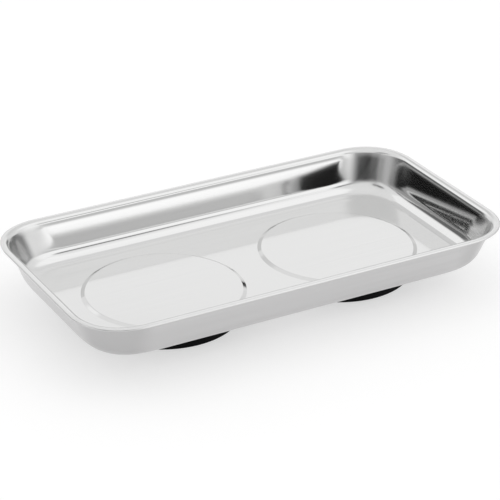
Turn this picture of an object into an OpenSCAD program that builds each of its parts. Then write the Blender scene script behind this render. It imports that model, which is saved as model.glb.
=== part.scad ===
// Magnetic parts tray: a pressed stainless pan standing on two ring magnets in rubber boots.
// Each magnet is held by a dished retainer plate that a nut draws up on a stud welded under the pan.
// Millimetres, +Z up, origin in the middle of the surface that the boots stand on.

/* [Tray pan] */
// Length of the pan over its rim
pan_length = 240; // [222:1:300]
// Width of the pan over its rim
pan_width = 132; // [120:1:180]
// Depth inside, from the top of the rim down to the floor
pan_depth = 21.9; // [16:0.1:30]
// Thickness of the steel sheet
sheet = 0.7; // [0.5:0.05:1]
// Plan radius of the rim's corners
corner_radius = 27; // [22:0.5:36]
// Plan radius that a corner gains on its way down, as a share of the depth
corner_gain_share = 0.32; // [0:0.02:0.5]
// Lean of the walls from upright, in degrees
wall_draft = 15.8; // [8:0.1:24]
// Width of the flat top of the rim
rim_flat = 1.8; // [1.5:0.1:4]
// Radius where the rim turns down into the wall
lip_radius = 3; // [2:0.1:4]
// Inside radius where the wall turns into the floor
floor_radius = 8.8; // [5:0.1:11]

/* [Seats raised in the floor] */
// Distance between the centres of the two magnet bases
base_pitch = 101.6; // [92:0.2:120]
// Height of the round seat over each magnet above the floor
seat_step = 0.8; // [0.5:0.05:1.5]
// Inside radius of the two bends round the seat
seat_bend = 0.3; // [0.1:0.05:0.6]
// Gap between the boot and the bend of the seat that it stands in
seat_gap = 0.6; // [0.3:0.1:2]

/* [Ring magnets] */
// Outside diameter of the magnet
magnet_diameter = 73; // [64:0.5:75]
// Bore of the magnet
magnet_bore = 22; // [20:0.5:30]
// Thickness of the magnet
magnet_thickness = 9.6; // [8:0.1:12]
// Chamfer on the magnet's edges
magnet_chamfer = 1; // [0.5:0.1:1.5]

/* [Retainer plates] */
// Thickness of the plate
plate_thickness = 1.5; // [1:0.1:2]
// How far the plate's edge stays inside the magnet's edge
plate_margin = 0.6; // [0.2:0.1:3]
// Gap between the plate's well and the magnet's bore
well_gap = 0.6; // [0.3:0.1:1]
// Gap between the top of the well and the pan, taken up as the nut is tightened
well_drop = 1.2; // [1:0.1:2]
// Inside radius of the plate's bends
plate_bend = 0.7; // [0.3:0.1:0.9]

/* [Rubber boots] */
// Thickness of the boot's side
boot_wall = 2.4; // [1.5:0.1:3]
// Thickness of the boot's sole
boot_sole = 1.6; // [1.2:0.1:3]
// Gap between the boot and the magnet
boot_fit = 0.1; // [0.05:0.05:0.3]
// Radius of the boot's lower edge
boot_edge = 1.2; // [0.5:0.1:1.4]
// How far the hole in the sole clears the mouth of the well
boot_hole_margin = 1.1; // [0.5:0.1:2]

/* [Fasteners] */
// Diameter of the welded stud
stud_diameter = 5; // [4:0.5:6]
// Diameter of the stud's weld flange
stud_flange_diameter = 8; // [7:0.5:9]
// Thickness of the stud's weld flange
stud_flange = 0.9; // [0.5:0.1:1]
// How far the stud stands out of its nut
stud_tail = 0.9; // [0.5:0.1:1.2]
// Gap round the stud in the holes that it passes through
stud_clearance = 0.15; // [0.05:0.05:0.4]
// Width of the nut across its flats
nut_across_flats = 8; // [7.5:0.5:10]
// Height of the nut
nut_height = 4; // [2.5:0.1:4.5]
// Outside diameter of the flat washer
washer_diameter = 10; // [9:0.5:12]
// Thickness of the flat washer
washer_thickness = 1; // [0.5:0.1:1.2]
// Outside diameter of the split lock washer
lock_diameter = 9.2; // [8.5:0.1:10]
// Thickness of the split lock washer
lock_thickness = 1.2; // [0.8:0.1:1.4]
// Width of the lock washer's split
lock_split = 0.8; // [0.4:0.1:1.2]

/* [Hidden] */

// Smoothness of round pieces, and of the arcs in the lofted pan
$fn = 96;
corner_steps = 14;
lip_steps = 6;
hem_steps = 6;
floor_steps = 8;
bend_steps = 3;

// Overrun of every cut
overrun = 1;

// Slant of the flank round a seat, of the lock washer's split and of the nut's chamfer, in degrees
seat_flank = 22;
split_slant = 25;
nut_chamfer_angle = 30;

left = -1;
right = 1;

// Heights of the stack, from the boot's sole upwards
plate_z = boot_sole;
magnet_z = plate_z + plate_thickness;
seat_underside_z = magnet_z + magnet_thickness;
seat_z = seat_underside_z + sheet;
floor_z = seat_z - seat_step;
rim_z = floor_z + pan_depth;

// Heights of the fasteners, from the well downwards
well_top_z = seat_underside_z - well_drop;
washer_z = well_top_z - plate_thickness - washer_thickness;
lock_z = washer_z - lock_thickness;
nut_z = lock_z - nut_height;
stud_tip_z = nut_z - stud_tail;

// Radii of the magnet base
magnet_r = magnet_diameter / 2;
bore_r = magnet_bore / 2;
well_outer_r = bore_r - well_gap;
well_inner_r = well_outer_r - plate_thickness;
plate_r = magnet_r - plate_margin;
boot_inner_r = magnet_r + boot_fit;
boot_r = boot_inner_r + boot_wall;
boot_hole_r = well_inner_r + boot_hole_margin;
stud_r = stud_diameter / 2;
stud_hole_r = stud_r + stud_clearance;

// Section of the pan, as pairs of [inset from the rim's edge, height]

// The wall leans at right angles to this direction
wall_normal = [cos(wall_draft), sin(wall_draft)];
lip_centre = [rim_flat, rim_z - lip_radius];
// The floor arc's centre lies as far inside the wall's line as its radius
floor_centre_z = floor_z + floor_radius;
arcs_reach = lip_centre * wall_normal + lip_radius + floor_radius;
floor_centre = [(arcs_reach - floor_centre_z * wall_normal[1]) / wall_normal[0], floor_centre_z];
// The edge of the rim is folded under, so the hem is two sheets thick
hem_centre = [sheet, rim_z - sheet];

// Points along an arc
function arc(centre, radius, from, to, steps) = [
    for (i = [0:steps]) let (a = from + (to - from) * i / steps) centre + radius * [cos(a), sin(a)]
];

// Section of a seat, as pairs of [radius, height]: the sheet bends up from the floor, then level again
// Radii of the two bends together, on one face of the sheet
bend_radii = 2 * seat_bend + sheet;
// The lower bend lies so far out that both bends run straight into the flank
flank_reach = (bend_radii - (bend_radii - seat_step) * cos(seat_flank)) / sin(seat_flank);
flat_r = boot_r + seat_gap;
seat_r = flat_r + flank_reach;
upper_bend = [flat_r, seat_underside_z - seat_bend];
lower_bend = [seat_r, floor_z + seat_bend];

// One side of a seat's sheet, from its flat middle out. The last chord is drawn twice as long,
// so that it passes through the face of the floor where the bend would end on it.
function seat_side(upper_radius, lower_radius) = let (
    side = concat(
        arc(upper_bend, upper_radius, 90, 90 - seat_flank, bend_steps),
        arc(lower_bend, lower_radius, 270 - seat_flank, 270, bend_steps)
    ),
    end = len(side) - 1
) [for (i = [0:end]) i < end ? side[i] : 2 * side[end] - side[end - 1]];

// From the floor up the inside, over the rim, round the hem and down the outside
pan_section = concat(
    arc(floor_centre, floor_radius, 270, 180 + wall_draft, floor_steps),
    arc(lip_centre, lip_radius, wall_draft, 90, lip_steps),
    arc(hem_centre, sheet, 90, 270, hem_steps),
    [[rim_flat, rim_z - 2 * sheet]],
    arc(lip_centre, lip_radius - sheet, 90, wall_draft, lip_steps),
    arc(floor_centre, floor_radius + sheet, 180 + wall_draft, 270, floor_steps)
);

// One ring of the pan: a rounded rectangle at the section point's inset and height
function pan_ring(point) = let (
    radius = corner_radius - point[0] + corner_gain_share * (rim_z - point[1]),
    reach_x = pan_length / 2 - point[0] - radius,
    reach_y = pan_width / 2 - point[0] - radius
) [
    for (corner = [0:3], i = [0:corner_steps])
        let (
            a = 90 * (corner + i / corner_steps),
            side_x = (corner == 0 || corner == 3) ? 1 : -1,
            side_y = (corner < 2) ? 1 : -1
        )
        [side_x * reach_x + radius * cos(a), side_y * reach_y + radius * sin(a), point[1]]
];

// A closed solid through a list of rings that have the same number of points
module loft(rings) {
    count = len(rings[0]);
    last = len(rings) - 1;
    polyhedron(
        points = [for (ring = rings) each ring],
        faces = concat(
            [[for (i = [count - 1:-1:0]) i]],
            [
                for (r = [0:last - 1], i = [0:count - 1])
                    let (j = (i + 1) % count, a = r * count + i, b = r * count + j)
                    each [[a, b, a + count], [b, b + count, a + count]]
            ],
            [[for (i = [0:count - 1]) last * count + i]]
        )
    );
}

// Puts a piece on one of the two bases
module at_base(side) translate([side * base_pitch / 2, 0, 0]) children();

module tray_pan() color("gainsboro") difference() {
    union() {
        loft([for (point = pan_section) pan_ring(point)]);
        for (side = [left, right]) at_base(side) seat_top();
    }
    for (side = [left, right]) at_base(side) seat_pocket();
}

// What a raised seat adds above the floor, from the middle of the sheet up
module seat_top() rotate_extrude() polygon(concat(
    [[0, seat_z]],
    seat_side(seat_bend + sheet, seat_bend),
    [[seat_r, floor_z - sheet / 2], [0, floor_z - sheet / 2]]
));

// What a raised seat leaves open under the floor, where the boot stands in it
module seat_pocket() rotate_extrude() polygon(concat(
    [[0, seat_underside_z]],
    seat_side(seat_bend, seat_bend + sheet),
    [[seat_r, floor_z - sheet - overrun], [0, floor_z - sheet - overrun]]
));

// Stud that is welded to the middle of the seat, with its flange against the steel
module weld_stud() color("silver") {
    translate([0, 0, seat_underside_z - stud_flange]) cylinder(h = stud_flange, d = stud_flange_diameter);
    translate([0, 0, stud_tip_z]) cylinder(h = seat_underside_z - stud_flange - stud_tip_z, r = stud_r);
}

// Ferrite ring, chamfered on all four edges
module ring_magnet() color("dimgray") translate([0, 0, magnet_z]) rotate_extrude() polygon([
    [bore_r + magnet_chamfer, 0],
    [magnet_r - magnet_chamfer, 0],
    [magnet_r, magnet_chamfer],
    [magnet_r, magnet_thickness - magnet_chamfer],
    [magnet_r - magnet_chamfer, magnet_thickness],
    [bore_r + magnet_chamfer, magnet_thickness],
    [bore_r, magnet_thickness - magnet_chamfer],
    [bore_r, magnet_chamfer],
]);

// Steel disc under the magnet, with a well drawn up through the bore for the nut
module retainer_plate() color("lightsteelblue") difference() {
    translate([0, 0, plate_z]) rotate_extrude() difference() {
        union() {
            translate([well_inner_r, 0]) square([plate_r - well_inner_r, plate_thickness]);
            square([well_outer_r, well_top_z - plate_z]);
            translate([well_outer_r, plate_thickness]) bend_fillet();
        }
        square([well_inner_r, well_top_z - plate_z - plate_thickness]);
        translate([well_inner_r, 0]) bend_fillet();
    }
    translate([0, 0, well_top_z - plate_thickness - overrun])
        cylinder(h = plate_thickness + 2 * overrun, r = stud_hole_r);
}

// Rounding of one bend of the plate
module bend_fillet() difference() {
    square(plate_bend);
    translate([plate_bend, plate_bend]) circle(r = plate_bend);
}

// Rubber cup over the plate and the magnet, with a bead that snaps over the magnet's top chamfer
module rubber_boot() color([0.08, 0.08, 0.08]) rotate_extrude() {
    bead_z = magnet_z + magnet_thickness - magnet_chamfer;
    difference() {
        union() {
            translate([boot_hole_r, boot_edge])
                square([boot_r - boot_hole_r, seat_underside_z - boot_edge]);
            translate([boot_hole_r, 0]) square([boot_r - boot_edge - boot_hole_r, boot_edge]);
            translate([boot_r - boot_edge, boot_edge]) circle(r = boot_edge);
        }
        translate([boot_hole_r, plate_z]) square([plate_r + boot_fit - boot_hole_r, plate_thickness]);
        polygon([
            [boot_hole_r, magnet_z],
            [boot_inner_r, magnet_z],
            [boot_inner_r, bead_z],
            [boot_inner_r - magnet_chamfer, bead_z + magnet_chamfer],
            [boot_hole_r, bead_z + magnet_chamfer],
        ]);
    }
}

// Plain ring that fits round the stud
module stud_ring(z, diameter, height) translate([0, 0, z]) difference() {
    cylinder(h = height, d = diameter);
    translate([0, 0, -overrun]) cylinder(h = height + 2 * overrun, r = stud_hole_r);
}

module flat_washer() color("silver") stud_ring(washer_z, washer_diameter, washer_thickness);

// Split spring washer, cut through on a slant
module lock_washer() color("darkgray") difference() {
    stud_ring(lock_z, lock_diameter, lock_thickness);
    translate([lock_diameter / 2, 0, lock_z + lock_thickness / 2]) rotate([split_slant, 0, 0])
        cube([lock_diameter, lock_split, lock_diameter], center = true);
}

// Hexagon nut, chamfered on both faces
module hex_nut() color("silver") {
    corner_r = nut_across_flats / 2 / cos(30);
    chamfer = (corner_r - nut_across_flats / 2) * tan(nut_chamfer_angle);
    intersection() {
        difference() {
            translate([0, 0, nut_z]) cylinder(h = nut_height, r = corner_r, $fn = 6);
            translate([0, 0, nut_z - overrun]) cylinder(h = nut_height + 2 * overrun, r = stud_hole_r);
        }
        translate([0, 0, nut_z]) rotate_extrude() polygon([
            [0, 0],
            [nut_across_flats / 2, 0],
            [corner_r, chamfer],
            [corner_r, nut_height - chamfer],
            [nut_across_flats / 2, nut_height],
            [0, nut_height],
        ]);
    }
}

tray_pan();
at_base(left) weld_stud();  // left_weld_stud
at_base(left) ring_magnet();  // left_ring_magnet
at_base(left) retainer_plate();  // left_retainer_plate
at_base(left) rubber_boot();  // left_rubber_boot
at_base(left) flat_washer();  // left_flat_washer
at_base(left) lock_washer();  // left_lock_washer
at_base(left) hex_nut();  // left_hex_nut
at_base(right) weld_stud();  // right_weld_stud
at_base(right) ring_magnet();  // right_ring_magnet
at_base(right) retainer_plate();  // right_retainer_plate
at_base(right) rubber_boot();  // right_rubber_boot
at_base(right) flat_washer();  // right_flat_washer
at_base(right) lock_washer();  // right_lock_washer
at_base(right) hex_nut();  // right_hex_nut
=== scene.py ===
"""Looks of a magnetic parts tray.

A pressed stainless pan with a folded rim stands on two ring magnets in rubber boots. Each
sub-assembly is a class that holds its sizes, builds its meshes and dresses them. All lengths are
in metres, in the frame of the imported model.
"""

from __future__ import annotations

import logging
import math
from dataclasses import dataclass, field
from enum import Enum

import bpy
import numpy as np
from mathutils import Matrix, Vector
from mathutils.geometry import tessellate_polygon


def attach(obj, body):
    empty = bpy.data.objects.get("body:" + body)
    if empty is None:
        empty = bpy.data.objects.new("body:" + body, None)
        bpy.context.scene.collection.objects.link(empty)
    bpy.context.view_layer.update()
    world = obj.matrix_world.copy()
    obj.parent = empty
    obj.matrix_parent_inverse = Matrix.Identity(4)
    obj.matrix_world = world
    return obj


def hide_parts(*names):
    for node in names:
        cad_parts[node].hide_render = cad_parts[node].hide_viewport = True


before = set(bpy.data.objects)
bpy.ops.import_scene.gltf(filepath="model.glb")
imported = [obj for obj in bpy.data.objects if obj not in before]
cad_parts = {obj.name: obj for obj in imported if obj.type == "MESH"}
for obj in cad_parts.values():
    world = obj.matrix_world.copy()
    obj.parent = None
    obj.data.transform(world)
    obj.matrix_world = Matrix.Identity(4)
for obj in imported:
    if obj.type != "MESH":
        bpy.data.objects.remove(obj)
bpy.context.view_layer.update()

LOG = logging.getLogger("parts_tray")
MM = 0.001
BODY = "root"
PHOTO_PIXELS = 500

Pair = tuple[float, float]
Triple = tuple[float, float, float]

# Range in which most of a noise texture's values lie
NOISE_SPAN: Pair = (0.3, 0.7)


# Sections and meshes


@dataclass(frozen=True)
class SectionPoint:
    """One point of a section, with the direction in which the surface faces there.

    Attributes:
        across: Distance along the section, an inset or a radius.
        height: Height above the ground.
        face_across: Part of the surface's normal along the section.
        face_height: Part of the surface's normal along the height.
    """

    across: float
    height: float
    face_across: float
    face_height: float

    def ahead(self, distance: float) -> Pair:
        """The place in front of the surface.

        Args:
            distance: How far in front, or behind if below zero.

        Returns:
            The place, as a distance along the section and a height.
        """
        return (
            self.across + distance * self.face_across,
            self.height + distance * self.face_height,
        )

    def other_face(self, sheet: float) -> SectionPoint:
        """The matching point on the other face of the sheet.

        Args:
            sheet: Thickness of the sheet.

        Returns:
            The point, which faces the other way.
        """
        return SectionPoint(*self.ahead(-sheet), -self.face_across, -self.face_height)


def arc(
    centre: Pair, radius: float, start: float, end: float, steps: int, hollow: bool = False
) -> list[SectionPoint]:
    """Points along a round stretch of a section.

    Args:
        centre: Middle of the arc.
        radius: Radius of the arc.
        start: Angle of the first point, in degrees.
        end: Angle of the last point, in degrees.
        steps: Number of chords.
        hollow: Whether the surface faces the middle of the arc.

    Returns:
        The points, with their normals.
    """
    sign = -1.0 if hollow else 1.0
    points = []
    for step in range(steps + 1):
        angle = math.radians(start + (end - start) * step / steps)
        way = (math.cos(angle), math.sin(angle))
        points.append(
            SectionPoint(
                centre[0] + radius * way[0],
                centre[1] + radius * way[1],
                sign * way[0],
                sign * way[1],
            )
        )
    return points


def rounded_outline(corners: list[Triple], steps: int) -> list[SectionPoint]:
    """A closed outline whose corners are rounded.

    Args:
        corners: Radius from the axis, height and rounding of each corner, anticlockwise.
        steps: Number of chords in each rounding.

    Returns:
        The points of the outline, with normals that look away from its inside.
    """
    points = []
    count = len(corners)
    for i, (across, height, rounding) in enumerate(corners):
        here = np.array((across, height))
        before = here - np.array(corners[i - 1][:2])
        after = np.array(corners[(i + 1) % count][:2]) - here
        before /= np.linalg.norm(before)
        after /= np.linalg.norm(after)
        turn = math.atan2(before[0] * after[1] - before[1] * after[0], before @ after)
        reach = rounding * math.tan(abs(turn) / 2)
        side = math.copysign(1.0, turn)
        inward = np.array((-before[1], before[0])) * side
        centre = here - before * reach + inward * rounding
        first = math.degrees(math.atan2(-inward[1], -inward[0]))
        points += arc(
            tuple(centre), rounding, first, first + math.degrees(turn), steps, hollow=side < 0
        )
    return points


def directions(angles: np.ndarray) -> np.ndarray:
    """Level unit vectors at the given angles.

    Args:
        angles: Angles from the X axis, in radians.

    Returns:
        One vector for each angle.
    """
    return np.stack([np.cos(angles), np.sin(angles), np.zeros(len(angles))], axis=1)


@dataclass
class MeshDraft:
    """Points, their true normals and the faces between them, before they become an object.

    Attributes:
        points: Places of the vertices, one array for each ring.
        normals: Direction of the surface at each vertex, in the same rings.
        faces: Vertex numbers of each face.
        count: Number of vertices so far.
    """

    points: list[np.ndarray] = field(default_factory=list)
    normals: list[np.ndarray] = field(default_factory=list)
    faces: list[tuple[int, ...]] = field(default_factory=list)
    count: int = 0

    def add_ring(self, points: np.ndarray, normals: np.ndarray) -> list[int]:
        """Adds a closed ring of vertices.

        Args:
            points: Places of the ring's vertices.
            normals: Normals there.

        Returns:
            The numbers of the new vertices.
        """
        self.points.append(points)
        self.normals.append(normals)
        self.count += len(points)
        return list(range(self.count - len(points), self.count))

    def join(self, one: list[int], other: list[int]) -> None:
        """Closes the strip between two rings that have the same number of vertices.

        Args:
            one: Vertices of the first ring.
            other: Vertices of the second ring.
        """
        for i in range(len(one)):
            self.faces.append((one[i - 1], one[i], other[i], other[i - 1]))

    def fill(self, outline: list[int], holes: list[list[int]]) -> None:
        """Fills a flat outline, with holes left open.

        Args:
            outline: Vertices of the outline.
            holes: Vertices of each hole.
        """
        loops = [outline, *holes]
        numbers = [i for loop in loops for i in loop]
        points = np.concatenate(self.points)
        places = [[Vector(points[i]) for i in loop] for loop in loops]
        for corners in tessellate_polygon(places):
            self.faces.append(tuple(numbers[k] for k in corners))

    def revolve(
        self, section: list[SectionPoint], centre: Pair, segments: int
    ) -> list[list[int]]:
        """Turns a section round an upright axis.

        Args:
            section: The points, at their distance from the axis.
            centre: Place of the axis.
            segments: Number of points round each ring.

        Returns:
            The rings' vertices, in the section's order.
        """
        ways = directions(np.arange(segments) * 2 * math.pi / segments)
        rings = []
        for point in section:
            normals = ways * point.face_across
            normals[:, 2] = point.face_height
            places = ways * point.across + np.array((*centre, point.height))
            rings.append(self.add_ring(places, normals))
        for one, other in zip(rings, rings[1:]):
            self.join(one, other)
        return rings

    def make(self, name: str) -> bpy.types.Object:
        """Turns the draft into a smooth mesh object, with each face on its normals' side.

        Args:
            name: Name of the object and its mesh.

        Returns:
            The new object, in the scene.
        """
        points = np.concatenate(self.points)
        normals = np.concatenate(self.normals)
        faces = []
        for size in sorted({len(face) for face in self.faces}):
            group = np.array([face for face in self.faces if len(face) == size])
            way = np.cross(
                points[group[:, 2]] - points[group[:, 0]],
                points[group[:, size - 1]] - points[group[:, 1]],
            )
            turned = np.einsum("ij,ij->i", way, normals[group].sum(axis=1)) < 0
            group[turned] = group[turned, ::-1]
            faces += group.tolist()
        mesh = bpy.data.meshes.new(name)
        mesh.from_pydata(points.tolist(), [], faces)
        mesh.polygons.foreach_set("use_smooth", [True] * len(faces))
        mesh.normals_split_custom_set_from_vertices(normals.tolist())
        made = bpy.data.objects.new(name, mesh)
        bpy.context.scene.collection.objects.link(made)
        return made


# Finishes


class ShaderGraph:
    """A short way to add shader nodes and link them."""

    def __init__(self, tree: bpy.types.NodeTree) -> None:
        """Empties a node tree.

        Args:
            tree: The material's or the world's node tree.
        """
        self.tree = tree
        tree.nodes.clear()

    def add(self, kind: str, inputs: dict | None = None, **settings: object) -> bpy.types.Node:
        """Adds one node.

        Args:
            kind: Blender's name of the node type, without its prefix.
            inputs: Values or sockets for the node's inputs, by name or number.
            **settings: Values for the node's own properties.

        Returns:
            The new node.
        """
        node = self.tree.nodes.new("ShaderNode" + kind)
        for key, value in settings.items():
            setattr(node, key, value)
        for key, value in (inputs or {}).items():
            if isinstance(value, bpy.types.NodeSocket):
                self.tree.links.new(value, node.inputs[key])
            else:
                node.inputs[key].default_value = value
        return node

    def math(self, operation: str, *values: object) -> bpy.types.NodeSocket:
        """Adds a sum, product or other function of numbers.

        Args:
            operation: Blender's name of the operation.
            *values: Numbers or sockets.

        Returns:
            The result's socket.
        """
        return self.add("Math", dict(enumerate(values)), operation=operation).outputs[0]

    def fade(
        self, value: bpy.types.NodeSocket, low: float, high: float, start: float, end: float
    ) -> bpy.types.NodeSocket:
        """Maps a range smoothly onto another.

        Args:
            value: The number to map.
            low: Where the change begins.
            high: Where the change ends.
            start: Result at and below the beginning.
            end: Result at and above the end.

        Returns:
            The result's socket.
        """
        inputs = {"Value": value, "From Min": low, "From Max": high, "To Min": start, "To Max": end}
        return self.add("MapRange", inputs, interpolation_type="SMOOTHSTEP").outputs["Result"]

    def blend(self, value: bpy.types.NodeSocket, one: object, other: object) -> bpy.types.NodeSocket:
        """Mixes two colours.

        Args:
            value: Share of the second colour.
            one: The first colour, as a triple or a socket.
            other: The second colour, as a triple or a socket.

        Returns:
            The mixed colour's socket.
        """
        # A mix node has sockets of one name for each kind of data, so they go by number here
        inputs = {0: value}
        for number, colour in ((6, one), (7, other)):
            inputs[number] = (*colour, 1.0) if isinstance(colour, tuple) else colour
        return self.add("Mix", inputs, data_type="RGBA").outputs[2]

    def bump(
        self, height: bpy.types.NodeSocket, strength: float, distance: float
    ) -> bpy.types.NodeSocket:
        """Turns a pattern into fine relief.

        Args:
            height: The pattern.
            strength: Share of the relief that shows.
            distance: Depth of the relief.

        Returns:
            The socket of the changed normal.
        """
        inputs = {"Height": height, "Strength": strength, "Distance": distance}
        return self.add("Bump", inputs).outputs["Normal"]


class Finish:
    """What a surface is made of and how it was worked."""

    name: str

    def material(self) -> bpy.types.Material:
        """Makes the finish's material, or finds the one that was made before.

        Returns:
            The material.
        """
        known = bpy.data.materials.get(self.name)
        if known:
            return known
        made = bpy.data.materials.new(self.name)
        made.use_nodes = True
        self.shade(ShaderGraph(made.node_tree))
        return made

    def shade(self, graph: ShaderGraph) -> None:
        """Fills the material's node tree.

        Args:
            graph: The empty node tree.
        """
        raise NotImplementedError

    def dress(self, piece: bpy.types.Object) -> None:
        """Puts the finish on a piece.

        Args:
            piece: The object to dress.
        """
        piece.data.materials.clear()
        piece.data.materials.append(self.material())


@dataclass(frozen=True)
class RolledSheet(Finish):
    """Bright stainless sheet with the fine lines of its rolling along the length.

    The faces that look down rubbed over the die in the drawing, so they are duller, and their colour
    is darker, which is painted shade. So are the corners, where the sheet has flowed most; on the
    faces that look down, their colour there is darker still, which is painted shade too.

    Attributes:
        tone: Colour of the bright face.
        line_tone: Colour of the rolling lines.
        line_scale: Changes of the lines' noise per metre, along the three axes.
        line_roughness: Factors of the roughness, between the lines and on them.
        roughness: Roughness of the bright face on the floor and the rim.
        wall_roughness: Roughness of the bright face on the walls, which the punch has smoothed.
        wall_slope: Upward part of the normal where the walls' roughness ends and the floor's begins.
        corner_roughness: Roughness of the bright face in the corners.
        corner_start: Where the corners' dullness starts, along the length and across.
        corner_width: Distance in which it grows to the full.
        painted_shade_tone: Colour of the duller face, darker as painted shade.
        painted_shade_line_tone: Colour of the lines on the duller face, darker as painted shade.
        painted_corner_shade_tone: Colour of the duller faces round the corners, darker still as
            painted shade.
        drawn_roughness: Roughness of the duller face.
        drawn_shade_slope: Upward part of the normal where the duller face and its painted shade begin
            and end.
    """

    name: str = "rolled_stainless_sheet"
    tone: Triple = (0.80, 0.80, 0.797)
    line_tone: Triple = (0.74, 0.74, 0.738)
    # The lines follow the sheet up the end walls, so height hardly counts
    line_scale: Triple = (6.0, 900.0, 6.0)
    line_roughness: Pair = (0.92, 1.08)
    roughness: float = 0.09
    wall_roughness: float = 0.07
    wall_slope: Pair = (0.4, 0.95)
    corner_roughness: float = 0.21
    corner_start: Pair = (0.083, 0.031)
    corner_width: float = 0.014
    # Painted shade: the duller face's colours are darker copies of the steel's, for the faces that
    # look down
    painted_shade_tone: Triple = (0.66, 0.655, 0.657)
    painted_shade_line_tone: Triple = (0.56, 0.556, 0.557)
    # Painted shade: darker still round the corners
    painted_corner_shade_tone: Triple = (0.525, 0.521, 0.523)
    drawn_roughness: float = 0.2
    drawn_shade_slope: Pair = (-0.15, 0.05)

    def corner_share(self, graph: ShaderGraph, place: bpy.types.NodeSocket) -> bpy.types.NodeSocket:
        """How much of a corner a point of the sheet is.

        Args:
            graph: The node tree.
            place: The point's place.

        Returns:
            The socket of a number from 0, a straight wall or the floor, to 1, a corner.
        """
        axes = graph.add("SeparateXYZ", {0: place})
        shares = []
        for axis, start in zip("XY", self.corner_start):
            out = graph.math("ABSOLUTE", axes.outputs[axis])
            shares.append(graph.fade(out, start, start + self.corner_width, 0.0, 1.0))
        return graph.math("MULTIPLY", *shares)

    def shade(self, graph: ShaderGraph) -> None:
        """Fills the material's node tree.

        Args:
            graph: The empty node tree.
        """
        place = graph.add("TexCoord").outputs["Object"]
        along = graph.add("Mapping", {"Vector": place, "Scale": self.line_scale})
        noise = {"Vector": along.outputs[0], "Scale": 1.0, "Detail": 3.0, "Roughness": 0.6}
        lines = graph.add("TexNoise", noise).outputs["Fac"]
        upright = graph.add("SeparateXYZ", {0: graph.add("TexCoord").outputs["Normal"]}).outputs["Z"]
        # The faces that look down are rougher, and get a darker colour as painted shade
        shaded_drawn_face = graph.fade(upright, *self.drawn_shade_slope, 1.0, 0.0)
        corner = self.corner_share(graph, place)
        bright = graph.blend(lines, self.line_tone, self.tone)
        # Painted shade: a darker copy of the steel's colour, with its lines, for the faces that look
        # down
        painted_shade_colour = graph.blend(lines, self.painted_shade_line_tone, self.painted_shade_tone)
        # Painted shade: darker still round the corners
        painted_shade_colour = graph.blend(corner, painted_shade_colour, self.painted_corner_shade_tone)
        rough = graph.fade(lines, *NOISE_SPAN, *self.line_roughness)
        plain = graph.fade(upright, *self.wall_slope, self.wall_roughness, self.roughness)
        inside = graph.add("Mix", {0: corner, 2: plain, 3: self.corner_roughness}).outputs[0]
        base = graph.add("Mix", {0: shaded_drawn_face, 2: inside, 3: self.drawn_roughness}).outputs[0]
        steel = graph.add(
            "BsdfPrincipled",
            {
                "Base Color": graph.blend(shaded_drawn_face, bright, painted_shade_colour),
                "Metallic": 1.0,
                "Roughness": graph.math("MULTIPLY", rough, base),
            },
        )
        graph.add("OutputMaterial", {"Surface": steel.outputs[0]})


@dataclass(frozen=True)
class ZincPlate(Finish):
    """Bright zinc on turned and pressed steel.

    Attributes:
        tone: Colour of the zinc.
        cloud_tone: Colour of its faint clouds.
        cloud_scale: Changes of the clouds' noise per metre.
        roughness: Lowest and highest roughness.
    """

    name: str = "zinc_plated_steel"
    tone: Triple = (0.62, 0.64, 0.66)
    cloud_tone: Triple = (0.52, 0.54, 0.58)
    cloud_scale: float = 420.0
    roughness: Pair = (0.256, 0.4)

    def shade(self, graph: ShaderGraph) -> None:
        """Fills the material's node tree.

        Args:
            graph: The empty node tree.
        """
        place = graph.add("TexCoord").outputs["Object"]
        clouds = graph.add("TexNoise", {"Vector": place, "Scale": self.cloud_scale, "Detail": 5.0})
        colour = graph.blend(clouds.outputs["Fac"], self.cloud_tone, self.tone)
        rough = graph.fade(clouds.outputs["Fac"], *NOISE_SPAN, *self.roughness)
        steel = graph.add(
            "BsdfPrincipled",
            {"Base Color": colour, "Metallic": 1.0, "Roughness": rough},
        )
        graph.add("OutputMaterial", {"Surface": steel.outputs[0]})


@dataclass(frozen=True)
class PressedFerrite(Finish):
    """Dark grey sintered magnet, matt and finely grained.

    Attributes:
        tone: Colour of the ferrite.
        grain_tone: Colour of its grains.
        grain_scale: Changes of the grains' noise per metre.
        grain_bump: Strength and depth of the grains' relief.
        roughness: Roughness of the surface.
    """

    name: str = "pressed_ferrite"
    tone: Triple = (0.055, 0.055, 0.06)
    grain_tone: Triple = (0.03, 0.03, 0.034)
    grain_scale: float = 1800.0
    grain_bump: Pair = (0.25, 0.1 * MM)
    roughness: float = 0.62

    def shade(self, graph: ShaderGraph) -> None:
        """Fills the material's node tree.

        Args:
            graph: The empty node tree.
        """
        place = graph.add("TexCoord").outputs["Object"]
        grain = graph.add("TexNoise", {"Vector": place, "Scale": self.grain_scale, "Detail": 4.0})
        colour = graph.blend(grain.outputs["Fac"], self.grain_tone, self.tone)
        bump = graph.bump(grain.outputs["Fac"], *self.grain_bump)
        ferrite = graph.add(
            "BsdfPrincipled",
            {
                "Base Color": colour,
                "Roughness": self.roughness,
                "Normal": bump,
            },
        )
        graph.add("OutputMaterial", {"Surface": ferrite.outputs[0]})


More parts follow.
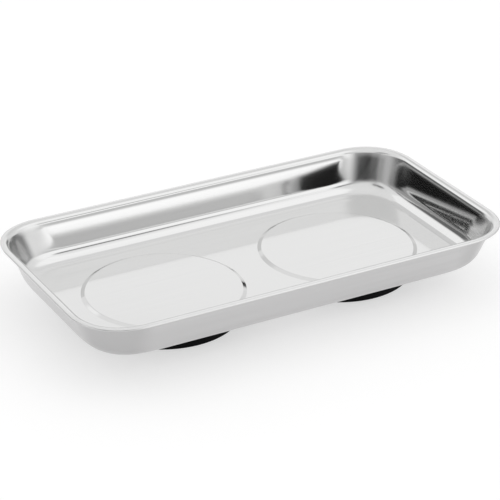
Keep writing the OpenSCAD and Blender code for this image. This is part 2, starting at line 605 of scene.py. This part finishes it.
@dataclass(frozen=True)
class MouldedRubber(Finish):
    """Black rubber with the faint cloudiness and grain of its mould.

    Attributes:
        tone: Colour of the rubber.
        bloom_tone: Colour of its faint bloom.
        bloom_scale: Changes of the bloom's noise per metre.
        grain_scale: Changes of the grain's noise per metre.
        grain_bump: Strength and depth of the grain's relief.
        roughness: Lowest and highest roughness.
        gloss: Level of its highlights.
    """

    name: str = "moulded_black_rubber"
    tone: Triple = (0.006, 0.006, 0.0065)
    bloom_tone: Triple = (0.011, 0.011, 0.012)
    bloom_scale: float = 140.0
    grain_scale: float = 2600.0
    grain_bump: Pair = (0.2, 0.05 * MM)
    roughness: Pair = (0.54, 0.69)
    gloss: float = 0.06

    def shade(self, graph: ShaderGraph) -> None:
        """Fills the material's node tree.

        Args:
            graph: The empty node tree.
        """
        place = graph.add("TexCoord").outputs["Object"]
        bloom = graph.add("TexNoise", {"Vector": place, "Scale": self.bloom_scale, "Detail": 4.0})
        grain = graph.add("TexNoise", {"Vector": place, "Scale": self.grain_scale, "Detail": 2.0})
        colour = graph.blend(bloom.outputs["Fac"], self.tone, self.bloom_tone)
        rough = graph.fade(bloom.outputs["Fac"], *NOISE_SPAN, *self.roughness)
        bump = graph.bump(grain.outputs["Fac"], *self.grain_bump)
        rubber = graph.add(
            "BsdfPrincipled",
            {
                "Base Color": colour,
                "Roughness": rough,
                "Specular IOR Level": self.gloss,
                "Normal": bump,
            },
        )
        graph.add("OutputMaterial", {"Surface": rubber.outputs[0]})


# Sub-assemblies


class Side(Enum):
    """Which of the two magnet bases, as a step along the pan's length."""

    LEFT = -1
    RIGHT = 1

    @property
    def word(self) -> str:
        """The side's name as the model's nodes have it."""
        return self.name.lower()


@dataclass
class TrayPan:
    """The pressing: a leaning wall round a flat floor, a folded rim and two round seats.

    Attributes:
        length: Length over the rim.
        width: Width over the rim.
        floor_z: Height of the floor's upper face.
        depth: Depth from the rim to the floor.
        sheet: Thickness of the steel.
        corner_radius: Plan radius of the rim's corners.
        corner_gain: Plan radius that a corner gains per depth.
        corner_ease: How softly a corner runs into the walls at the rim and at the floor, from 0, a
            plain arc, to 1.
        draft: Lean of the wall from upright, in degrees.
        rim_flat: Width of the rim's flat top.
        lip_radius: Radius where the rim turns down into the wall.
        shoulder_radius: Radius of the wider bend between the lip and the wall.
        shoulder_turn: How far that bend turns, in degrees.
        heel_radius: Radius of the wider bend between the wall and the floor's bend.
        heel_turn: How far that bend turns, in degrees.
        floor_radius: Inside radius where the wall turns into the floor.
        fold_edge: Rounding of the folded sheet's cut edge.
        base_pitch: Distance between the two seats.
        seat_flat: Radius of a seat's flat top.
        seat_step: Height of a seat above the floor.
        seat_bend: Inside radius of a seat's bends.
        seat_flank: Steepest slant of the sheet round a seat, in degrees.
        corner_steps: Chords in each corner of the plan.
        path_steps: Steps in which each of those chords is worked out.
        floor_steps: Chords in the floor's bend.
        soft_steps: Chords in the shoulder and in the heel.
        lip_steps: Chords in the lip.
        hem_steps: Chords in the fold's round edge.
        edge_steps: Chords in the roundings of the cut edge.
        bend_steps: Chords in each of a seat's bends.
        seat_segments: Points round a seat.
        normal_step: Distance between the rings that give the surface's slope.
        finish: What the sheet looks like.
    """

    length: float = 240 * MM
    width: float = 132 * MM
    floor_z: float = 12.6 * MM
    depth: float = 21.9 * MM
    sheet: float = 0.7 * MM
    corner_radius: float = 27 * MM
    corner_gain: float = 0.32
    corner_ease: Pair = (0.2, 1.0)
    draft: float = 15.8
    rim_flat: float = 1.8 * MM
    lip_radius: float = 3 * MM
    shoulder_radius: float = 40 * MM
    shoulder_turn: float = 4.0
    heel_radius: float = 25 * MM
    heel_turn: float = 3.0
    floor_radius: float = 8.8 * MM
    fold_edge: float = 0.12 * MM
    base_pitch: float = 101.6 * MM
    seat_flat: float = 39.6 * MM
    seat_step: float = 0.8 * MM
    seat_bend: float = 0.3 * MM
    seat_flank: float = 22.0
    corner_steps: int = 48
    path_steps: int = 16
    floor_steps: int = 26
    soft_steps: int = 6
    lip_steps: int = 18
    hem_steps: int = 16
    edge_steps: int = 4
    bend_steps: int = 10
    seat_segments: int = 192
    normal_step: float = 0.01 * MM
    finish: Finish = RolledSheet()

    @property
    def rim_z(self) -> float:
        """Height of the rim."""
        return self.floor_z + self.depth

    def section(self) -> list[SectionPoint]:
        """The pan's section, from the floor up the inside, over the rim and down the outside.

        Returns:
            The points, as insets from the rim's edge and heights.
        """
        lip = (self.rim_flat, self.rim_z - self.lip_radius)
        hem = (self.sheet, self.rim_z - self.sheet)
        edge = self.fold_edge
        fold = (self.rim_flat - edge, self.rim_z - 2 * self.sheet + edge)
        nook = (self.rim_flat + edge, self.rim_z - self.sheet - edge)
        inner, upper = self.lip_radius - self.sheet, self.draft + self.shoulder_turn
        start = math.degrees(math.acos(edge / inner))
        wall = self.wall_section()
        return [
            *reversed(wall),
            *arc(lip, self.lip_radius, upper, 90, self.lip_steps)[1:],
            *arc(hem, self.sheet, 90, 270, self.hem_steps),
            *arc(fold, edge, 270, 360, self.edge_steps),
            *arc(nook, edge, 180, 90, self.edge_steps, hollow=True),
            *arc(lip, inner, start, upper, self.lip_steps, hollow=True)[:-1],
            *(point.other_face(self.sheet) for point in wall),
        ]

    def wall_section(self) -> list[SectionPoint]:
        """The inside of the wall, from the lip down to the floor.

        The sheet springs back a little after the pressing, so the bends at the lip and at the floor
        run out into the wall in wider bends.

        Returns:
            The points, as insets from the rim's edge and heights.
        """
        upper, lower = self.draft + self.shoulder_turn, self.draft + self.heel_turn
        lean, low = math.radians(self.draft), math.sin(math.radians(lower))
        lip = (self.rim_flat, self.rim_z - self.lip_radius)
        top = arc(lip, self.lip_radius, upper, 90, 1)[0]
        shoulder = arc(
            top.ahead(-self.shoulder_radius), self.shoulder_radius, upper, self.draft, self.soft_steps
        )
        rise = self.heel_radius * (low - math.sin(lean)) + self.floor_radius * (1 - low)
        fall = shoulder[-1].height - self.floor_z - rise
        foot = SectionPoint(
            shoulder[-1].across + fall * math.tan(lean),
            self.floor_z + rise,
            math.cos(lean),
            math.sin(lean),
        )
        heel = arc(
            foot.ahead(self.heel_radius),
            self.heel_radius,
            180 + self.draft,
            180 + lower,
            self.soft_steps,
            hollow=True,
        )
        turn = arc(
            heel[-1].ahead(self.floor_radius),
            self.floor_radius,
            180 + lower,
            270,
            self.floor_steps,
            hollow=True,
        )
        return [*shoulder, *heel, *turn[1:]]

    def corner_curve(self, ease: float) -> tuple[np.ndarray, np.ndarray]:
        """The plan of a corner, which eases in and out of the straight walls.

        Args:
            ease: How softly it does so, from 0, a plain arc, to 1.

        Returns:
            The angles in which the corner faces, and its points for a corner of radius one that
            passes through the same middle as a round one.
        """
        count = self.corner_steps * self.path_steps
        share = np.arange(count + 1) / count
        angles = (share - ease * np.sin(2 * math.pi * share) / (2 * math.pi)) * math.pi / 2
        steps = np.stack([-np.sin(angles), np.cos(angles)], axis=1)
        path = np.zeros_like(steps)
        path[1:] = np.cumsum((steps[1:] + steps[:-1]) / 2, axis=0)
        path *= (math.cos(math.pi / 4) - 1) / path[len(share) // 2, 0]
        path += np.array((1.0, 1.0 - path[-1, 1]))
        return angles[:: self.path_steps], path[:: self.path_steps]

    def outline(self, across: float, height: float) -> tuple[np.ndarray, np.ndarray]:
        """A rounded rectangle round the pan.

        Args:
            across: Its inset from the rim's edge.
            height: Its height.

        Returns:
            Its points, and the level directions in which it faces there.
        """
        fall = self.rim_z - height
        radius = self.corner_radius - across + self.corner_gain * fall
        reach = np.array((self.length, self.width)) / 2 - across - radius
        eases = self.corner_ease
        angles, curve = self.corner_curve(eases[0] + (eases[1] - eases[0]) * fall / self.depth)
        places, ways = [], []
        for corner, side in enumerate(((1, 1), (-1, 1), (-1, -1), (1, -1))):
            turn = math.pi / 2 * corner
            cos, sin = math.cos(turn), math.sin(turn)
            turned = curve @ np.array(((cos, sin), (-sin, cos)))
            level = np.array(side) * reach + turned * radius
            places.append(np.column_stack([level, np.full(len(level), height)]))
            ways.append(directions(angles + turn))
        return np.concatenate(places), np.concatenate(ways)

    def ring(self, point: SectionPoint) -> tuple[np.ndarray, np.ndarray]:
        """The ring of vertices round the pan at one point of its section.

        Args:
            point: The point of the section.

        Returns:
            The places and the normals of the ring's vertices.
        """
        places, ways = self.outline(point.across, point.height)
        # The surface runs along the ring, and from a ring just below to one just above
        shift = (self.normal_step * point.face_height, self.normal_step * point.face_across)
        above, _ = self.outline(point.across - shift[0], point.height + shift[1])
        below, _ = self.outline(point.across + shift[0], point.height - shift[1])
        along = np.stack([-ways[:, 1], ways[:, 0], ways[:, 2]], axis=1)
        normals = np.cross(along, above - below)
        plain = -ways * point.face_across
        plain[:, 2] = point.face_height
        normals *= np.sign(np.einsum("ij,ij->i", normals, plain))[:, None]
        return places, normals / np.linalg.norm(normals, axis=1)[:, None]

    def seat_section(self, upper: bool) -> list[SectionPoint]:
        """One face of the sheet round a seat, from its flat middle out to the floor.

        Args:
            upper: Whether it is the face that shows from above.

        Returns:
            The points, as radii and heights.
        """
        flank = self.seat_flank
        slant = math.radians(flank)
        radii = 2 * self.seat_bend + self.sheet
        run = (radii - (radii - self.seat_step) * math.cos(slant)) / math.sin(slant)
        inner = (self.seat_flat, self.floor_z + self.seat_step - self.sheet - self.seat_bend)
        outer = (self.seat_flat + run, self.floor_z + self.seat_bend)
        small, large = self.seat_bend, self.seat_bend + self.sheet
        high, low = (large, small) if upper else (small, large)
        return [
            *arc(inner, high, 90, 90 - flank, self.bend_steps, hollow=not upper),
            *arc(outer, low, 270 - flank, 270, self.bend_steps, hollow=upper),
        ]

    def build(self) -> bpy.types.Object:
        """Builds the pan as one closed sheet.

        Returns:
            The pan's object.
        """
        draft = MeshDraft()
        rings = [draft.add_ring(*self.ring(point)) for point in self.section()]
        for one, other in zip(rings, rings[1:]):
            draft.join(one, other)
        for upper, outline in ((True, rings[0]), (False, rings[-1])):
            holes = []
            for side in Side:
                centre = (side.value * self.base_pitch / 2, 0.0)
                bends = draft.revolve(self.seat_section(upper), centre, self.seat_segments)
                draft.fill(bends[0], [])
                holes.append(bends[-1])
            draft.fill(outline, holes)
        return draft.make("pressed_pan")

    def dress(self, piece: bpy.types.Object) -> None:
        """Gives the pan its finish and its place in the model.

        Args:
            piece: The pan's object.
        """
        self.finish.dress(piece)
        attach(piece, BODY)
        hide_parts("tray_pan")


@dataclass
class MagnetBase:
    """One magnet under the pan, with its boot, its plate and its fasteners.

    Attributes:
        side: Which of the two bases it is.
        offset: Distance of the bases' axes from the middle of the pan.
        height: Height of the boot.
        boot_radius: Outside radius of the boot.
        boot_edge: Rounding of the boot's lower edge.
        soft_edge: Rounding of the boot's other edges.
        sole: Thickness of the boot's sole.
        hole_radius: Radius of the hole in the sole.
        plate_pocket: Radius and height of the pocket for the plate.
        magnet_pocket: Radius of the pocket for the magnet.
        bead: Depth of the bead over the magnet's chamfer.
        stud_radius: Outside radius of the stud's thread.
        stud_foot_z: Height of the stud's lower end.
        flange_radius: Radius of the stud's weld flange.
        flange: Thickness of the weld flange.
        pitch: Pitch of the thread.
        thread_depth: Depth of the thread.
        thread_flank: Steepness of the thread's flanks, in depths per pitch.
        boot_segments: Points round the boot.
        boot_steps: Chords in each of the boot's roundings.
        stud_segments: Points round the stud.
        rows_per_turn: Rings in each turn of the thread.
        rubber: Finish of the boot.
        zinc: Finish of the stud, the plate, the washers and the nut.
        ferrite: Finish of the magnet.
    """

    side: Side
    offset: float = 50.8 * MM
    height: float = 12.7 * MM
    boot_radius: float = 39 * MM
    boot_edge: float = 1.2 * MM
    soft_edge: float = 0.35 * MM
    sole: float = 1.6 * MM
    hole_radius: float = 10 * MM
    plate_pocket: Pair = (36.0 * MM, 3.1 * MM)
    magnet_pocket: float = 36.6 * MM
    bead: float = 1 * MM
    stud_radius: float = 2.5 * MM
    stud_foot_z: float = 2.9 * MM
    flange_radius: float = 4 * MM
    flange: float = 0.9 * MM
    pitch: float = 0.8 * MM
    thread_depth: float = 0.38 * MM
    thread_flank: float = 2.4
    boot_segments: int = 160
    boot_steps: int = 8
    stud_segments: int = 40
    rows_per_turn: int = 10
    rubber: Finish = MouldedRubber()
    zinc: Finish = ZincPlate()
    ferrite: Finish = PressedFerrite()

    @property
    def centre(self) -> Pair:
        """Place of the base's axis."""
        return (self.side.value * self.offset, 0.0)

    def node(self, piece: str) -> str:
        """Name of one of the base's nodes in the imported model.

        Args:
            piece: The node's name without its side.

        Returns:
            The whole name.
        """
        return f"{self.side.word}_{piece}"

    def build_boot(self) -> bpy.types.Object:
        """Builds the rubber boot as a revolved outline with soft edges.

        Returns:
            The boot's object.
        """
        soft = self.soft_edge
        corners = [
            (self.hole_radius, 0.0, soft),
            (self.boot_radius, 0.0, self.boot_edge),
            (self.boot_radius, self.height, soft),
            (self.magnet_pocket - self.bead, self.height, soft / 2),
            (self.magnet_pocket, self.height - self.bead, soft / 2),
            (self.magnet_pocket, self.plate_pocket[1], soft / 2),
            (self.plate_pocket[0], self.plate_pocket[1], soft / 2),
            (self.plate_pocket[0], self.sole, soft / 2),
            (self.hole_radius, self.sole, soft),
        ]
        draft = MeshDraft()
        rings = draft.revolve(
            rounded_outline(corners, self.boot_steps), self.centre, self.boot_segments
        )
        draft.join(rings[-1], rings[0])
        return draft.make(self.node("moulded_boot"))

    def build_stud(self) -> bpy.types.Object:
        """Builds the welded stud with its flange and its rolled thread.

        Returns:
            The stud's object.
        """
        draft = MeshDraft()
        count = self.stud_segments
        angles = np.arange(count) * 2 * math.pi / count
        ways = directions(angles)
        top = self.height - self.flange
        length = top - self.stud_foot_z
        rows = int(length / self.pitch * self.rows_per_turn)
        rings = []
        for row in range(rows + 1):
            z = self.stud_foot_z + length * row / rows
            phase = (z / self.pitch - angles / (2 * math.pi)) % 1.0
            groove = np.clip(self.thread_flank * (0.5 - np.abs(phase - 0.5)), 0.0, 1.0)
            point = max(0.0, 1.0 - (z - self.stud_foot_z) / self.pitch) * self.thread_depth
            run_out = min(1.0, (top - z) / self.pitch)
            radii = self.stud_radius - np.maximum(groove * self.thread_depth * run_out, point)
            places = ways * radii[:, None] + np.array((*self.centre, z))
            rings.append(draft.add_ring(places, ways))
        for one, other in zip(rings, rings[1:]):
            draft.join(one, other)
        ends = [
            SectionPoint(self.flange_radius, top, 0.0, -1.0),
            SectionPoint(self.flange_radius, self.height, 0.0, 1.0),
        ]
        flange = draft.revolve(ends, self.centre, count)
        draft.join(rings[-1], flange[0])
        for ring, way in ((rings[0], -1.0), (flange[1], 1.0)):
            places = np.concatenate(draft.points)[ring]
            cap = draft.add_ring(places, np.tile((0.0, 0.0, way), (count, 1)))
            draft.fill(cap, [])
        return draft.make(self.node("threaded_stud"))

    def build(self) -> dict[str, bpy.types.Object]:
        """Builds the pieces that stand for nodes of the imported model.

        Returns:
            The pieces, by the node that each stands for.
        """
        return {"rubber_boot": self.build_boot(), "weld_stud": self.build_stud()}

    def dress(self, pieces: dict[str, bpy.types.Object]) -> None:
        """Gives the base's pieces and nodes their finishes and places in the model.

        Args:
            pieces: The pieces, by the node that each stands for.
        """
        finishes = {"rubber_boot": self.rubber, "weld_stud": self.zinc}
        for node, piece in pieces.items():
            finishes[node].dress(piece)
            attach(piece, BODY)
            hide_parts(self.node(node))
        solids = {"ring_magnet": self.ferrite}
        for node in ("retainer_plate", "flat_washer", "lock_washer", "hex_nut"):
            solids[node] = self.zinc
        for node, finish in solids.items():
            finish.dress(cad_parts[self.node(node)])
            LOG.info("%s: packed solid", self.node(node))


# Studio


@dataclass(frozen=True)
class LightPanel:
    """A soft-edged stretch of the studio's walls, as a span of directions.

    Attributes:
        turn: First and last direction round the tray, in degrees from its front towards its right.
        rise: Lowest and highest direction, in degrees above the horizon.
        soft: Width of the soft edges at the sides, and above and below, in degrees.
        strength: How bright the panel is.
    """

    turn: Pair
    rise: Pair
    soft: Pair
    strength: float


@dataclass
class Studio:
    """A white tent round the tray, its floor and the camera.

    Attributes:
        azimuth: Direction from which the camera looks, in degrees round from the front.
        elevation: Height of the camera's look, in degrees.
        distance: Distance of the camera from its target.
        target: Point at which the camera looks.
        focal_pixels: Focal length in pixels of the photograph.
        sensor: Width of the camera's sensor, in millimetres.
        near_clip: Distance at which the camera begins to see.
        floor_size: Length of the floor's sides.
        floor_tone: Grey of the floor's cloth.
        floor_glow: Brightness that makes the cloth look white.
        tent: Strength of the tent's plain cloth.
        panels: Brighter and darker stretches of the tent, each laid over those before it.
    """

    azimuth: float = -28.97
    elevation: float = 26.55
    distance: float = 1.09794
    target: Triple = (0.01171, 0.0236, 0.010)
    focal_pixels: float = 2090.88
    sensor: float = 36.0
    near_clip: float = 0.01
    floor_size: float = 6.0
    floor_tone: float = 0.55
    floor_glow: float = 0.56
    tent: float = 0.90
    panels: tuple[LightPanel, ...] = (
        # Large box over the right side
        LightPanel((32.0, 98.0), (39.0, 70.0), (16.0, 8.0), 1.13),
        # Back of the tent, brighter low down
        LightPanel((98.0, 133.0), (-20.0, 68.0), (14.0, 6.0), 0.84),
        LightPanel((125.0, 183.0), (30.0, 44.0), (10.0, 3.0), 0.74),
        LightPanel((133.0, 168.0), (-20.0, 29.5), (8.0, 3.0), 1.02),
        # Front right, a row of strips
        LightPanel((4.0, 60.0), (-20.0, 37.0), (28.0, 3.0), 1.15),
        LightPanel((4.0, 60.0), (-20.0, 6.0), (28.0, 3.0), 1.26),
        LightPanel((4.0, 60.0), (7.5, 12.0), (28.0, 3.0), 0.6),
        LightPanel((-2.0, 31.0), (29.5, 36.5), (8.0, 3.0), 0.28),
        # Dark gap low on the right
        LightPanel((61.0, 114.0), (-20.0, 9.0), (20.0, 5.0), 0.1),
        # Bright cloth at the left back
        LightPanel((-177.0, -142.0), (27.0, 44.0), (4.0, 4.0), 1.08),
        # Dark gaps low at the back and on the left
        LightPanel((120.0, 185.0), (-20.0, 8.0), (8.0, 6.0), 0.2),
        LightPanel((126.0, 140.0), (8.0, 16.5), (4.0, 3.0), 0.01),
        LightPanel((-150.0, -70.0), (-20.0, 24.0), (14.0, 6.0), 0.16),
        LightPanel((-112.0, -82.0), (-20.0, 24.0), (26.0, 6.0), 0.55),
        # Mouth of the tent with the lens in it, and a dark gap high on the left
        LightPanel((-74.0, 6.0), (-20.0, 37.0), (14.0, 6.0), 0.48),
        LightPanel((-68.0, -3.0), (-20.0, 23.5), (18.0, 8.0), 0.012),
        LightPanel((-43.0, -20.0), (10.0, 26.5), (10.0, 7.0), 0.015),
        LightPanel((-106.0, -60.0), (42.5, 51.0), (6.0, 4.0), 0.01),
    )

    def build_camera(self) -> bpy.types.Object:
        """Sets up the camera.

        Returns:
            The camera's object.
        """
        turn, rise = math.radians(self.azimuth), math.radians(self.elevation)
        back = Vector(
            (
                math.sin(turn) * math.cos(rise),
                -math.cos(turn) * math.cos(rise),
                math.sin(rise),
            )
        )
        lens = bpy.data.cameras.new("camera")
        lens.sensor_width = self.sensor
        lens.lens = self.focal_pixels / PHOTO_PIXELS * self.sensor
        lens.clip_start = self.near_clip
        made = bpy.data.objects.new("camera", lens)
        made.location = Vector(self.target) + back * self.distance
        made.rotation_euler = back.to_track_quat("Z", "Y").to_euler()
        bpy.context.scene.collection.objects.link(made)
        bpy.context.scene.camera = made
        return made

    def build_floor(self) -> bpy.types.Object:
        """Lays the plain pale floor.

        Returns:
            The floor's object.
        """
        half = self.floor_size / 2
        mesh = bpy.data.meshes.new("studio_floor")
        corners = [(-half, -half, 0.0), (half, -half, 0.0), (half, half, 0.0), (-half, half, 0.0)]
        mesh.from_pydata(corners, [], [(0, 1, 2, 3)])
        made = bpy.data.objects.new("studio_floor", mesh)
        bpy.context.scene.collection.objects.link(made)
        cover = bpy.data.materials.new("studio_floor")
        cover.use_nodes = True
        graph = ShaderGraph(cover.node_tree)
        cloth = graph.add("BsdfDiffuse", {"Color": (*[self.floor_tone] * 3, 1.0)})
        dark = graph.add("Emission", {"Strength": 0.0})
        glow = graph.add("Emission", {"Color": (1.0, 1.0, 1.0, 1.0), "Strength": self.floor_glow})
        path = graph.add("LightPath")
        seen = graph.math("MAXIMUM", path.outputs["Is Camera Ray"], path.outputs["Is Glossy Ray"])
        seen = graph.math("MAXIMUM", seen, path.outputs["Is Transmission Ray"])
        extra = graph.add("MixShader", {0: seen, 1: dark.outputs[0], 2: glow.outputs[0]})
        both = graph.add("AddShader", {0: cloth.outputs[0], 1: extra.outputs[0]})
        graph.add("OutputMaterial", {"Surface": both.outputs[0]})
        mesh.materials.append(cover)
        return made

    def build_tent(self) -> bpy.types.World:
        """Hangs the tent: a world that is bright cloth, with panels by direction.

        Returns:
            The world.
        """
        world = bpy.data.worlds.new("tent")
        bpy.context.scene.world = world
        world.use_nodes = True
        graph = ShaderGraph(world.node_tree)
        way = graph.add("SeparateXYZ", {0: graph.add("TexCoord").outputs["Generated"]})
        x, y, z = (way.outputs[i] for i in range(3))
        turn = graph.math("DEGREES", graph.math("ARCTAN2", x, graph.math("MULTIPLY", y, -1.0)))
        rise = graph.math("DEGREES", graph.math("ARCSINE", z))
        light: object = self.tent
        for panel in self.panels:
            masks = []
            spans = ((turn, panel.turn, panel.soft[0]), (rise, panel.rise, panel.soft[1]))
            for value, (low, high), soft in spans:
                away = graph.math("SUBTRACT", value, (low + high) / 2)
                away = graph.math("ABSOLUTE", graph.math("WRAP", away, 180.0, -180.0))
                half = (high - low) / 2
                masks.append(graph.fade(away, half - soft / 2, half + soft / 2, 1.0, 0.0))
            mask = graph.math("MULTIPLY", *masks)
            light = graph.add("Mix", {0: mask, 2: light, 3: panel.strength}).outputs[0]
        sky = graph.add("Background", {"Color": (1.0, 1.0, 1.0, 1.0), "Strength": light})
        graph.add("OutputWorld", {"Surface": sky.outputs[0]})
        return world

    def build(self) -> None:
        """Builds the whole studio."""
        self.build_tent()
        self.build_floor()
        self.build_camera()
        bpy.context.scene.view_settings.view_transform = "Standard"


def main() -> None:
    """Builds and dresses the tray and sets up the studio."""
    logging.basicConfig(level=logging.INFO, format="%(name)s: %(message)s")
    pan = TrayPan()
    piece = pan.build()
    pan.dress(piece)
    LOG.info("%s: %d faces", piece.name, len(piece.data.polygons))
    for side in Side:
        base = MagnetBase(side)
        pieces = base.build()
        base.dress(pieces)
        for made in pieces.values():
            LOG.info("%s: %d faces", made.name, len(made.data.polygons))
    Studio().build()


if __name__ == "__main__":
    main()
